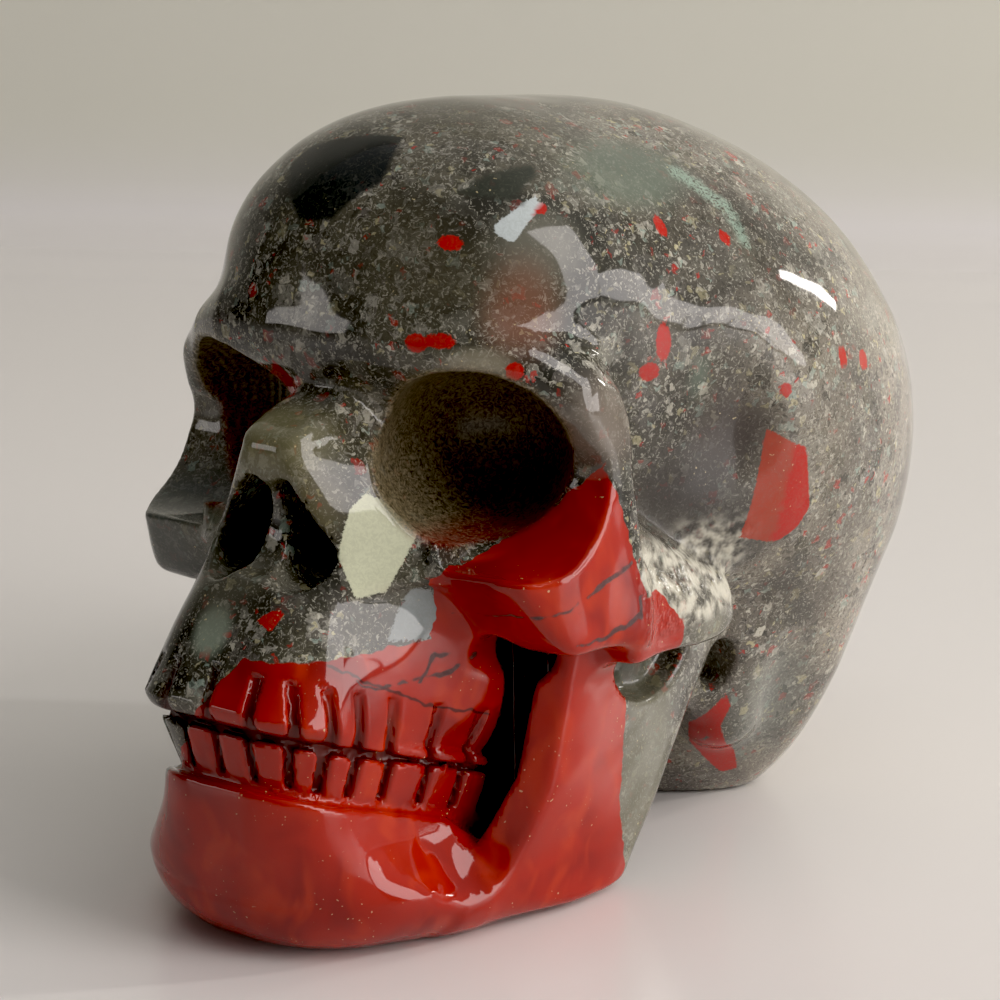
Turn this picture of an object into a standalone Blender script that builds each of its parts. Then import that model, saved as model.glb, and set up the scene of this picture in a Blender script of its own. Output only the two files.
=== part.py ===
"""Skull carved from one piece of African bloodstone, 127 mm long, resting on its jaw and on the
back of its head.

The carving is one smooth rounded body. It is described as a field over space, negative inside the
stone and zero on its surface, in carving units of UNIT metres: x to the skull's left, y to the
back, z up from the table. Rounded masses are blended together, and the eye sockets, the nose
opening, the slots between the teeth and the hollows of the jaw are blended out. The field becomes
a chain of Math nodes that fills a volume, and the volume is meshed and thinned.
"""
import math

import bpy

LENGTH = 0.127            # overall length, front teeth to the back of the head
FRONT = -54.24            # y of the front teeth, carving units
BACK = 88.07              # y of the back of the head
UNIT = LENGTH/(BACK - FRONT)
MIDDLE = (FRONT + BACK)/2
VOXEL = 0.75              # grid step of the volume, carving units
HALF_WIDTH = 50           # the grid's half width, carving units
TOP = 112                 # the grid's top
MARGIN = 3                # room left around the carving in the grid
TRIANGLES = 9400          # faces kept after thinning
STONE = (0.17, 0.165, 0.14, 1)

# Field arithmetic: a Value is one Math node's result


class Value:
    """A number that varies over space, held as the output socket of a node."""

    def __init__(self, socket):
        self.socket = socket

    def __add__(self, other):
        return combine("ADD", self, other)

    def __sub__(self, other):
        return combine("SUBTRACT", self, other)

    def __mul__(self, other):
        return combine("MULTIPLY", self, other)

    def __truediv__(self, other):
        return combine("DIVIDE", self, other)

    def __radd__(self, other):
        return combine("ADD", other, self)

    def __rsub__(self, other):
        return combine("SUBTRACT", other, self)

    def __rmul__(self, other):
        return combine("MULTIPLY", other, self)

    def __rtruediv__(self, other):
        return combine("DIVIDE", other, self)

    def __neg__(self):
        return combine("MULTIPLY", self, -1)


def combine(operation, *values):
    """One Math node on values that are numbers or Values."""
    node = TREE.nodes.new("ShaderNodeMath")
    node.operation = operation
    for socket, value in zip(node.inputs, values):
        if isinstance(value, Value):
            TREE.links.new(value.socket, socket)
        else:
            socket.default_value = value
    return Value(node.outputs[0])


def least(a, b):
    return combine("MINIMUM", a, b)


def most(a, b):
    return combine("MAXIMUM", a, b)


def size(a):
    return combine("ABSOLUTE", a)


def root(a):
    return combine("SQRT", a)


def join(a, b, k):
    """Union of two bodies with a fillet about k wide."""
    return combine("SMOOTH_MIN", a, b, 1.5*k)


def trim(a, b, k):
    """What two bodies share, with the edge rounded about k wide."""
    return combine("SMOOTH_MAX", a, b, 1.5*k)


# The carving's field


def clamp(a, low, high):
    return least(most(a, low), high)


def plane(x, y, z, normal, point):
    """Half space below the plane through a point, its normal pointing out."""
    n = math.hypot(*normal)
    return (x - point[0])*(normal[0]/n) + (y - point[1])*(normal[1]/n) + (z - point[2])*(normal[2]/n)


def egg(x, y, z, centre, radii, tilt=0, yaw=0):
    """Ellipsoid, turned about z by yaw and then about x by tilt, in degrees."""
    x, y, z = x - centre[0], y - centre[1], z - centre[2]
    if yaw:
        s, c = math.sin(math.radians(yaw)), math.cos(math.radians(yaw))
        x, y = x*c + y*s, y*c - x*s
    if tilt:
        s, c = math.sin(math.radians(tilt)), math.cos(math.radians(tilt))
        y, z = y*c + z*s, z*c - y*s
    x, y, z = x*(1/radii[0]), y*(1/radii[1]), z*(1/radii[2])
    a = root(x*x + y*y + z*z) + 1e-6
    x, y, z = x*(1/radii[0]), y*(1/radii[1]), z*(1/radii[2])
    return a*(a - 1)/(root(x*x + y*y + z*z) + 1e-6)


def rod(x, y, z, start, end):
    """Round rod between two points given as (x, y, z, radius)."""
    d = [e - s for s, e in zip(start, end)]
    x, y, z = x - start[0], y - start[1], z - start[2]
    run = d[0]*d[0] + d[1]*d[1] + d[2]*d[2]
    h = clamp((x*d[0] + y*d[1] + z*d[2])*(1/run), 0, 1)
    x, y, z = x - h*d[0], y - h*d[1], z - h*d[2]
    return root(x*x + y*y + z*z) - h*d[3] - start[3]


def rods(x, y, z, points):
    """Round rods through a row of points."""
    out = rod(x, y, z, points[0], points[1])
    for start, end in zip(points[1:-1], points[2:]):
        out = least(out, rod(x, y, z, start, end))
    return out


def bow(u, y, wide, front, spread, r):
    """Plan of a row of teeth: a box with round front corners that widens toward the back."""
    a = u - wide - most(y - front, 0)*spread + r
    b = front + r - y
    p, q = most(a, 0), most(b, 0)
    return root(p*p + q*q) + least(most(a, b), 0) - r


def partings(u, y, wide, front, spread, r, stops, half):
    """Thin upright slots across a bow, at distances along it from the middle."""
    out = None
    flat = wide - r
    bend = r*math.pi/2
    for stop in stops:
        turn = (min(max(stop, flat), flat + bend) - flat)/r
        run = max(stop - flat - bend, 0)
        px = min(stop, flat) + r*math.sin(turn) + spread*(run + r)*(run > 0)
        py = front + r - r*math.cos(turn) + run
        s, c = math.sin(turn), math.cos(turn)
        slot = size((u - px)*c + (y - py)*s) - half
        out = least(out, slot) if out is not None else slot
    return out


def head(x, y, z):
    """Brain case, the lobe it rests on behind, the bone under it and the brow."""
    d = egg(x, y, z, (0, 34.1, 64), (46.2, 56.7, 39.8), tilt=-25.6)
    d = join(d, egg(x, y, z, (0, -2.6, 84.1), (32.1, 27.9, 24)), 7.1)
    d = join(d, egg(x, y, z, (0, 46.6, 29.3), (34.6, 18.1, 38)), 20.5)
    d = join(d, egg(x, y, z, (0, 40, 14), (24, 14, 16)), 6)
    d = join(d, egg(x, y, z, (0, -10, 60), (27, 17, 22)), 6)
    base = trim(trim(x - 27, 3 - y, 3), trim(20 - z, y - 36, 6), 6)
    d = join(d, trim(base, z - 60, 4), 4)
    d = join(d, rod(x, y, z, (25.5, 29, 32, 8), (25, 31, 16.5, 4.5)), 7)
    brow = rods(x, y, z, [(0, -26, 79, 4.5), (8, -26.4, 79.5, 4.3), (18, -24.6, 79, 4),
                          (25, -20.5, 77, 4), (30, -16, 73.5, 4.5)])
    return join(d, brow, 6)


def nose(x, y, z):
    """Nose bone: flat on top, with flared sides that spread into the cheeks."""
    flare = (66 - z)*0.047 + 0.32
    half = most(67 - z, 0)*0.33 + most(y + 41, 0)*flare + 4.6
    lean = clamp(1/root(flare*flare + 1), 0.5, 1)
    d = trim((x - half)*lean, -41.4 - y, 2.5)
    d = trim(d, plane(x, y, z, (0, -0.31, 0.95), (0, -35, 70.8)), 2)
    return trim(d, most(50 - z, y + 20), 2)


def cheek(x, y, z):
    """Cheekbone: a faceted block under the eye, with a post up to the end of the brow."""
    d = plane(x, y, z, (0.985, -0.12, 0.08), (36, -19, 60))
    d = trim(d, plane(x, y, z, (0.1, -0.99, 0), (32.4, -30.6, 52)), 1)
    d = trim(d, plane(x, y, z, (0.83, -0.56, 0), (34.2, -27.5, 53)), 1)
    d = trim(d, plane(x, y, z, (0.05, -0.87, -0.5), (33.5, -28.2, 47)), 1.5)
    d = trim(d, 40.8 - z, 3)
    d = trim(d, y + 10.6, 1.5)
    d = trim(d, 18.6 - x, 1)
    d = trim(d, plane(x, y, z, (0, -0.5, 0.86), (0, -20.5, 74.5)), 4)
    d = trim(d, plane(x, y, z, (0.6, 0.1, 0.8), (33, -14, 77)), 5)
    return trim(d, -trim(y + 17.5 + (z - 66)*0.45, 63 - z, 4), 3)


def zygoma(x, y, z):
    """Bar from the cheekbone back to the temple, with the sloping ledge above it."""
    d = rods(x, y, z, [(32.5, -12, 45.5, 4.2), (34.2, -2, 43, 4.2), (34.3, 4.5, 40.2, 4.4), (33.8, 9, 38.9, 4)])
    slope = join(plane(x, y, z, (0.3, 0.55, 0.78), (37, -1, 50.5)),
                 plane(x, y, z, (0.3, 0.33, 0.9), (38.5, 11.4, 43.4)), 3)
    ledge = trim(slope, 37 - z, 2)
    ledge = trim(ledge, trim(x - 36.4 - (46 - z)*0.15, most(y - 14, -12 - y), 2), 2)
    return join(d, trim(ledge, 20 - x, 2), 3)


def jaw(x, u, y, z, bite, drop):
    """Lower jaw below the teeth: chin, sides and the upright plates behind, u from its own middle."""
    shelf = bite - 7.5
    d = bow(u, y, drop*7.4 + 12.9, drop*2.3 - 52.8, drop*0.06 + 0.19, drop*10 + 9)
    d = trim(d, z - shelf, 1.2)
    d = trim(d, least(y + 14, x - 24.5), 5)
    d = trim(d, plane(x, y, z, (0, 0.83, -0.55), (0, -5, 0)), 4) + most(y + 25, 0)*0.5
    edge = clamp(-y*0.3, 3, 10.5)
    q, r = most(edge - z, 0), most(d + edge, 0)
    d = most(d, root(q*q + r*r) - edge)
    foot = bow(u, y, 20.3, -50.5, 0.25, 19) - (z - 4)*0.1
    edge = clamp(-y*0.3 - 1, 2, 10.5)
    q, r = most(edge - z, 0), most(foot + edge, 0)
    foot = most(foot, root(q*q + r*r) - edge)
    inner = least(z*0.12 + 21.82, z*0.5 + 13.5)
    plate = trim(trim(x - z*0.07 - 28.5, foot, 2), inner - x, 1.5)
    plate = trim(plate, plane(x, y, z, (0, 0.83, -0.55), (0, 1.5, 0)), 4)
    lead = join(plane(x, y, z, (0.39, -0.914, 0.12), (29.4, -18.9, 24.3)), z - 7, 5)
    plate = trim(plate, trim(lead, -29 - y, 3), 1.2)
    plate = trim(trim(plate, z - 46, 2), -z, 2)
    plate = trim(plate, -egg(x, y, z, (31, 3, 36.5), (12, 10, 9)), 1)
    d = join(d, plate, 2)
    return trim(d, -egg(x, y, z, (26, -29.5, 15.5), (8.5, 7.8, 9.5)), 2)


def trough(x, y, z):
    """Level trough that opens the eye socket out through the cheekbone."""
    p, q = y + 29, z - 65
    return trim(trim(root(p*p + q*q) - 13.2, 20 - x, 2), z - 67.5, 5)


def carving(side, y, z):
    """The whole skull. Left and right match, but the jaw's foot lies a little to the right."""
    x = size(side)
    d = join(head(x, y, z), nose(x, y, z), 2)
    d = join(d, cheek(x, y, z), 1.5)
    # Upper jaw, with the bite line falling toward the back
    bite = 14.34 - y*0.36
    above = z - bite
    rise = most(above - 3.4, -1)
    gum = most(2.4 - above, 0)
    upper = bow(x, y, 14.6 - rise*0.36 - gum*0.15, rise*0.52 + gum*0.1 - 53.9,
                rise*0.033 + 0.12, 9 - clamp(rise, 0, 14)*0.3)*0.85
    row = trim(trim(upper, trim(z - 53, -above, 1), 3), trim(y - 8, x - 22, 3), 3)
    d = join(d, row, 3)
    # Lower teeth
    fall = clamp(-above, 0, 12)
    lower = bow(x, y, 13.8 - fall*0.3, fall*0.25 - 52.8, 0.16, 9)
    row = trim(trim(lower, trim(above - 2, 8 - z, 1), 1), y - 8, 3)
    d = join(d, row, 0.6)
    # Bite line and partings
    d = trim(d, -trim(size(above) - 0.5, -lower - 1.8, 0.5), 0.6)
    gap = partings(x, y, 14.6, -53.9, 0.12, 9, (0, 7.1, 13.1, 18.1, 22.6, 28, 35, 42), 0.65)
    tall = trim(-above - 0.4, above - y*0.02 - 8.9, 1)
    d = trim(d, -trim(gap, trim(tall, above*0.12 - upper - 1.5, 0.5), 0.4), 0.5)
    gap = partings(x, y, 13.8, -52.8, 0.16, 9, (0, 5.4, 11.4, 16.1, 20.9, 26.4, 33, 39), 0.55)
    tall = trim(above, -6.2 - above, 1)
    d = trim(d, -trim(gap, trim(tall, -lower - 1.5, 0.5), 0.4), 0.5)
    # Deep slot behind the last molars
    web = trim(trim(x - 26, -8 - y, 1), plane(x, y, z, (0, 0.83, -0.55), (0, -5, 0)), 1)
    d = join(d, trim(web, trim(9 - z, z - 46, 1), 1), 1)
    slot = trim(trim(15.5 - x, x - 25, 1), trim(-18.9 - y, y + 9, 2), 1.5)
    d = trim(d, -trim(slot, trim(z - 43, 14 - z, 2), 2), 1)
    # Lower jaw, its foot shifted to the right
    chin = most(bite - 7.5, 18)
    drop = clamp((chin - z)/(chin - 9), 0, 1)
    shift = clamp((23 - z)/15, 0, 1)
    shift = shift*shift*(9 - shift*6)
    d = join(d, jaw(x, size(side + shift), y, z, bite, drop*drop), 1)
    d = join(d, zygoma(x, y, z), 4)
    # Hollow under the jaw, and the gap between the jaw and the back of the head
    d = trim(d, -trim(trim(bow(x, y, 7, -34, 0.3, 6), z - 20, 5), y - 24, 6), 2)
    d = trim(d, -rod(x, y, z, (31, 16, 12, 3), (26, 16, 2, 8)), 3)
    d = trim(d, -egg(x, y, z, (31.3, 21.6, 27), (9, 2.7, 4.4), yaw=-25), 0.8)
    # Eye sockets, the arch under the cheekbone and the hollow of the temple
    d = trim(d, -egg(x, y, z, (19.8, -23.3, 65.7), (12.5, 17, 11.6), yaw=22), 0.8)
    d = trim(d, -trough(x, y, z), 0.8)
    d = trim(d, -rod(x, y, z, (25.5, -36, 38.8, 4), (24, -12, 38.8, 4)), 1)
    d = trim(d, -egg(x, y, z, (45, 3, 64), (9.5, 12, 15)), 6)
    # Nose opening
    d = trim(d, -rod(x, (y + 38)*(1/3.2), z, (2.6, 0, 61.5, 2.1), (6, 0, 53.2, 4)), 0.8)
    d = trim(d, -egg(x, y, z, (0, -44, 57.5), (5.5, 5, 6.5)), 1)
    return most(d, -z)


# The solid


def new_tree(name):
    """Geometry node group with a geometry output."""
    tree = bpy.data.node_groups.new(name, "GeometryNodeTree")
    tree.interface.new_socket("Geometry", in_out="INPUT", socket_type="NodeSocketGeometry")
    tree.interface.new_socket("Geometry", in_out="OUTPUT", socket_type="NodeSocketGeometry")
    return tree


def add_nodes(solid, name, tree):
    modifier = solid.modifiers.new(name, "NODES")
    modifier.node_group = tree


for old in list(bpy.data.objects):
    bpy.data.objects.remove(old, do_unlink=True)

stone = bpy.data.materials.new("bloodstone")
stone.use_nodes = True
surface = stone.node_tree.nodes["Principled BSDF"]
surface.inputs["Base Color"].default_value = STONE
surface.inputs["Roughness"].default_value = 0.15
surface.inputs["Metallic"].default_value = 0

TREE = new_tree("carving")
place = TREE.nodes.new("GeometryNodeInputPosition")
split = TREE.nodes.new("ShaderNodeSeparateXYZ")
TREE.links.new(place.outputs[0], split.inputs[0])
across, along, up = (Value(socket)*(1/UNIT) for socket in split.outputs)
density = -carving(across, along + MIDDLE, up)

low = (-HALF_WIDTH, FRONT - MIDDLE - MARGIN, -MARGIN)
high = (HALF_WIDTH, BACK - MIDDLE + MARGIN, TOP)
cube = TREE.nodes.new("GeometryNodeVolumeCube")
TREE.links.new(density.socket, cube.inputs["Density"])
cube.inputs["Background"].default_value = -MARGIN
cube.inputs["Min"].default_value = [v*UNIT for v in low]
cube.inputs["Max"].default_value = [v*UNIT for v in high]
for name, start, end in zip("XYZ", low, high):
    cube.inputs["Resolution " + name].default_value = round((end - start)/VOXEL) + 1

skin = TREE.nodes.new("GeometryNodeVolumeToMesh")
skin.resolution_mode = "GRID"
skin.inputs["Threshold"].default_value = 0
TREE.links.new(cube.outputs[0], skin.inputs["Volume"])
paint = TREE.nodes.new("GeometryNodeSetMaterial")
paint.inputs["Material"].default_value = stone
TREE.links.new(skin.outputs[0], paint.inputs["Geometry"])
out = TREE.nodes.new("NodeGroupOutput")
TREE.links.new(paint.outputs[0], out.inputs[0])

skull = bpy.data.objects.new("skull", bpy.data.meshes.new("skull"))
bpy.context.collection.objects.link(skull)
skull.data.materials.append(stone)
add_nodes(skull, "Carving", TREE)
bpy.context.view_layer.update()
fine = skull.evaluated_get(bpy.context.evaluated_depsgraph_get()).data
fine.calc_loop_triangles()
thin = skull.modifiers.new("Thin", "DECIMATE")
thin.ratio = TRIANGLES/len(fine.loop_triangles)
thin.use_collapse_triangulate = True
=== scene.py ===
"""Polished bloodstone skull carving on a pale table, in carving units of UNIT metres."""
import math

import bpy
import numpy as np
from mathutils import Matrix


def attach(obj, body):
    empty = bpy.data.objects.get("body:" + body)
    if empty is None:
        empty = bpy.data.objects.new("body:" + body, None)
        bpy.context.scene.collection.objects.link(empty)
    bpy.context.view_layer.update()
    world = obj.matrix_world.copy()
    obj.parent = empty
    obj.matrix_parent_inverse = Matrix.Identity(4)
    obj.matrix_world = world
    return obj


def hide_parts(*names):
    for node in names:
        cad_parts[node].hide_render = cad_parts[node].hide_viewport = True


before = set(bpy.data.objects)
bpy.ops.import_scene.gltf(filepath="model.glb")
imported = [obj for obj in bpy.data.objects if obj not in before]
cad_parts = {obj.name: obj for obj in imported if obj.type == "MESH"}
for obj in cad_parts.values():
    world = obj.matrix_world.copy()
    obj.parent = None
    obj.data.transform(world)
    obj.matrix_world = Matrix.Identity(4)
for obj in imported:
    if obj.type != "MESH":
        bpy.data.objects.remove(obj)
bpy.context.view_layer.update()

# Size, as in the part

LENGTH = 0.127            # overall length, front teeth to the back of the head
FRONT = -54.24            # y of the front teeth, carving units
BACK = 88.07              # y of the back of the head
UNIT = LENGTH/(BACK - FRONT)
MIDDLE = (FRONT + BACK)/2

# Field arithmetic on whole arrays


def least(a, b):
    return np.minimum(a, b)


def most(a, b):
    return np.maximum(a, b)


def size(a):
    return np.abs(a)


def root(a):
    return np.sqrt(a)


def join(a, b, k):
    """Union of two bodies with a fillet about k wide: the lesser, less a cubic where they are near."""
    k = 1.5*k
    h = np.maximum(k - np.abs(a - b), 0)/k
    return np.minimum(a, b) - h*h*h*(k/6)


def trim(a, b, k):
    """What two bodies share, with the edge rounded about k wide."""
    return -join(-a, -b, k)


def clamp(a, low, high):
    return least(most(a, low), high)


def plane(x, y, z, normal, point):
    """Half space below the plane through a point, its normal pointing out."""
    n = math.hypot(*normal)
    return (x - point[0])*(normal[0]/n) + (y - point[1])*(normal[1]/n) + (z - point[2])*(normal[2]/n)


def egg(x, y, z, centre, radii, tilt=0, yaw=0):
    """Ellipsoid, turned about z by yaw and then about x by tilt, in degrees."""
    x, y, z = x - centre[0], y - centre[1], z - centre[2]
    if yaw:
        s, c = math.sin(math.radians(yaw)), math.cos(math.radians(yaw))
        x, y = x*c + y*s, y*c - x*s
    if tilt:
        s, c = math.sin(math.radians(tilt)), math.cos(math.radians(tilt))
        y, z = y*c + z*s, z*c - y*s
    x, y, z = x*(1/radii[0]), y*(1/radii[1]), z*(1/radii[2])
    a = root(x*x + y*y + z*z) + 1e-6
    x, y, z = x*(1/radii[0]), y*(1/radii[1]), z*(1/radii[2])
    return a*(a - 1)/(root(x*x + y*y + z*z) + 1e-6)


def rod(x, y, z, start, end):
    """Round rod between two points given as (x, y, z, radius)."""
    d = [e - s for s, e in zip(start, end)]
    x, y, z = x - start[0], y - start[1], z - start[2]
    run = d[0]*d[0] + d[1]*d[1] + d[2]*d[2]
    h = clamp((x*d[0] + y*d[1] + z*d[2])*(1/run), 0, 1)
    x, y, z = x - h*d[0], y - h*d[1], z - h*d[2]
    return root(x*x + y*y + z*z) - h*d[3] - start[3]


def rods(x, y, z, points):
    """Round rods through a row of points."""
    out = rod(x, y, z, points[0], points[1])
    for start, end in zip(points[1:-1], points[2:]):
        out = least(out, rod(x, y, z, start, end))
    return out


def bow(u, y, wide, front, spread, r):
    """Plan of a row of teeth: a box with round front corners that widens toward the back."""
    a = u - wide - most(y - front, 0)*spread + r
    b = front + r - y
    p, q = most(a, 0), most(b, 0)
    return root(p*p + q*q) + least(most(a, b), 0) - r


def partings(u, y, wide, front, spread, r, stops, half):
    """Thin upright slots across a bow, at distances along it from the middle."""
    out = None
    flat = wide - r
    bend = r*math.pi/2
    for stop in stops:
        turn = (min(max(stop, flat), flat + bend) - flat)/r
        run = max(stop - flat - bend, 0)
        px = min(stop, flat) + r*math.sin(turn) + spread*(run + r)*(run > 0)
        py = front + r - r*math.cos(turn) + run
        s, c = math.sin(turn), math.cos(turn)
        slot = size((u - px)*c + (y - py)*s) - half
        out = least(out, slot) if out is not None else slot
    return out


# The carving's shapes


def head(x, y, z):
    """Brain case, the lobe it rests on behind, the bone under it and the brow."""
    d = egg(x, y, z, (0, 34.1, 64), (46.2, 56.7, 39.8), tilt=-25.6)
    d = join(d, egg(x, y, z, (0, -2.6, 84.1), (32.1, 27.9, 24)), 7.1)
    d = join(d, egg(x, y, z, (0, 46.6, 29.3), (34.6, 18.1, 38)), 20.5)
    d = join(d, egg(x, y, z, (0, 40, 14), (24, 14, 16)), 6)
    d = join(d, egg(x, y, z, (0, -10, 60), (27, 17, 22)), 6)
    base = trim(trim(x - 27, 3 - y, 3), trim(20 - z, y - 36, 6), 6)
    d = join(d, trim(base, z - 60, 4), 4)
    d = join(d, rod(x, y, z, (25.5, 29, 32, 8), (25, 31, 16.5, 4.5)), 7)
    brow = rods(x, y, z, [(0, -26, 79, 4.5), (8, -26.4, 79.5, 4.3), (18, -24.6, 79, 4),
                          (25, -20.5, 77, 4), (30, -16, 73.5, 4.5)])
    return join(d, brow, 6)


def nose(x, y, z):
    """Nose bone: flat on top, with flared sides that spread into the cheeks."""
    flare = (66 - z)*0.047 + 0.32
    half = most(67 - z, 0)*0.33 + most(y + 41, 0)*flare + 4.6
    lean = clamp(1/root(flare*flare + 1), 0.5, 1)
    d = trim((x - half)*lean, -41.4 - y, 2.5)
    d = trim(d, plane(x, y, z, (0, -0.31, 0.95), (0, -35, 70.8)), 2)
    return trim(d, most(50 - z, y + 20), 2)


def cheek(x, y, z):
    """Cheekbone: a faceted block under the eye, with a post up to the end of the brow."""
    d = plane(x, y, z, (0.985, -0.12, 0.08), (36, -19, 60))
    d = trim(d, plane(x, y, z, (0.1, -0.99, 0), (32.4, -30.6, 52)), 1)
    d = trim(d, plane(x, y, z, (0.83, -0.56, 0), (34.2, -27.5, 53)), 1)
    d = trim(d, plane(x, y, z, (0.05, -0.87, -0.5), (33.5, -28.2, 47)), 1.5)
    d = trim(d, 40.8 - z, 3)
    d = trim(d, y + 10.6, 1.5)
    d = trim(d, 18.6 - x, 1)
    d = trim(d, plane(x, y, z, (0, -0.5, 0.86), (0, -20.5, 74.5)), 4)
    d = trim(d, plane(x, y, z, (0.6, 0.1, 0.8), (33, -14, 77)), 5)
    return trim(d, -trim(y + 17.5 + (z - 66)*0.45, 63 - z, 4), 3)


def zygoma(x, y, z):
    """Bar from the cheekbone back to the temple, with the sloping ledge above it."""
    d = rods(x, y, z, [(32.5, -12, 45.5, 4.2), (34.2, -2, 43, 4.2),
                       (34.3, 4.5, 40.2, 4.4), (33.8, 9, 38.9, 4)])
    slope = join(plane(x, y, z, (0.3, 0.55, 0.78), (37, -1, 50.5)),
                 plane(x, y, z, (0.3, 0.33, 0.9), (38.5, 11.4, 43.4)), 3)
    ledge = trim(slope, 37 - z, 2)
    ledge = trim(ledge, trim(x - 36.4 - (46 - z)*0.15, most(y - 14, -12 - y), 2), 2)
    return join(d, trim(ledge, 20 - x, 2), 3)


def jaw(x, u, y, z, bite, drop):
    """Lower jaw below the teeth: chin, sides and the upright plates behind, u from its own middle."""
    shelf = bite - 7.5
    d = bow(u, y, drop*7.4 + 12.9, drop*2.3 - 52.8, drop*0.06 + 0.19, drop*10 + 9)
    d = trim(d, z - shelf, 1.2)
    d = trim(d, least(y + 14, x - 24.5), 5)
    d = trim(d, plane(x, y, z, (0, 0.83, -0.55), (0, -5, 0)), 4) + most(y + 25, 0)*0.5
    edge = clamp(-y*0.3, 3, 10.5)
    q, r = most(edge - z, 0), most(d + edge, 0)
    d = most(d, root(q*q + r*r) - edge)
    foot = bow(u, y, 20.3, -50.5, 0.25, 19) - (z - 4)*0.1
    edge = clamp(-y*0.3 - 1, 2, 10.5)
    q, r = most(edge - z, 0), most(foot + edge, 0)
    foot = most(foot, root(q*q + r*r) - edge)
    inner = least(z*0.12 + 21.82, z*0.5 + 13.5)
    plate = trim(trim(x - z*0.07 - 28.5, foot, 2), inner - x, 1.5)
    plate = trim(plate, plane(x, y, z, (0, 0.83, -0.55), (0, 1.5, 0)), 4)
    lead = join(plane(x, y, z, (0.39, -0.914, 0.12), (29.4, -18.9, 24.3)), z - 7, 5)
    plate = trim(plate, trim(lead, -29 - y, 3), 1.2)
    plate = trim(trim(plate, z - 46, 2), -z, 2)
    plate = trim(plate, -egg(x, y, z, (31, 3, 36.5), (12, 10, 9)), 1)
    d = join(d, plate, 2)
    return trim(d, -egg(x, y, z, (26, -29.5, 15.5), (8.5, 7.8, 9.5)), 2)


def sockets(x, y, z):
    """Eye sockets: a round bore, and a level trough that opens it out through the cheekbone."""
    p, q = y + 29, z - 65
    trough = trim(root(p*p + q*q) - 13.2, 20 - x, 2)
    return (egg(x, y, z, (19.8, -23.3, 65.7), (12.5, 17, 11.6), yaw=22),
            trim(trough, z - 67.5, 5))


BITE_LEVEL = 14.34        # height of the bite line where y is 0
BITE_SLOPE = 0.36         # its rise toward the face


def rows(x, y, z):
    """Height of the bite line, height above it, and the outlines of both rows of teeth."""
    bite = BITE_LEVEL - y*BITE_SLOPE
    above = z - bite
    rise = most(above - 3.4, -1)
    gum = most(2.4 - above, 0)
    upper = bow(x, y, 14.6 - rise*0.36 - gum*0.15, rise*0.52 + gum*0.1 - 53.9,
                rise*0.033 + 0.12, 9 - clamp(rise, 0, 14)*0.3)*0.85
    fall = clamp(-above, 0, 12)
    lower = bow(x, y, 13.8 - fall*0.3, fall*0.25 - 52.8, 0.16, 9)
    return bite, above, upper, lower


def wander(x, y, z):
    """Slight unevenness that hand polishing leaves: products of slow sines along x, y and z."""
    a = np.sin(x*0.23 + 1.3)*np.sin(y*0.19 + 0.4)*np.sin(z*0.21 + 2.1)
    b = np.sin(x*0.47 + y*0.2 + 0.6)*np.sin(y*0.41 - z*0.3)*np.sin(z*0.52 + 0.9)
    return a*0.16 + b*0.05


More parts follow.
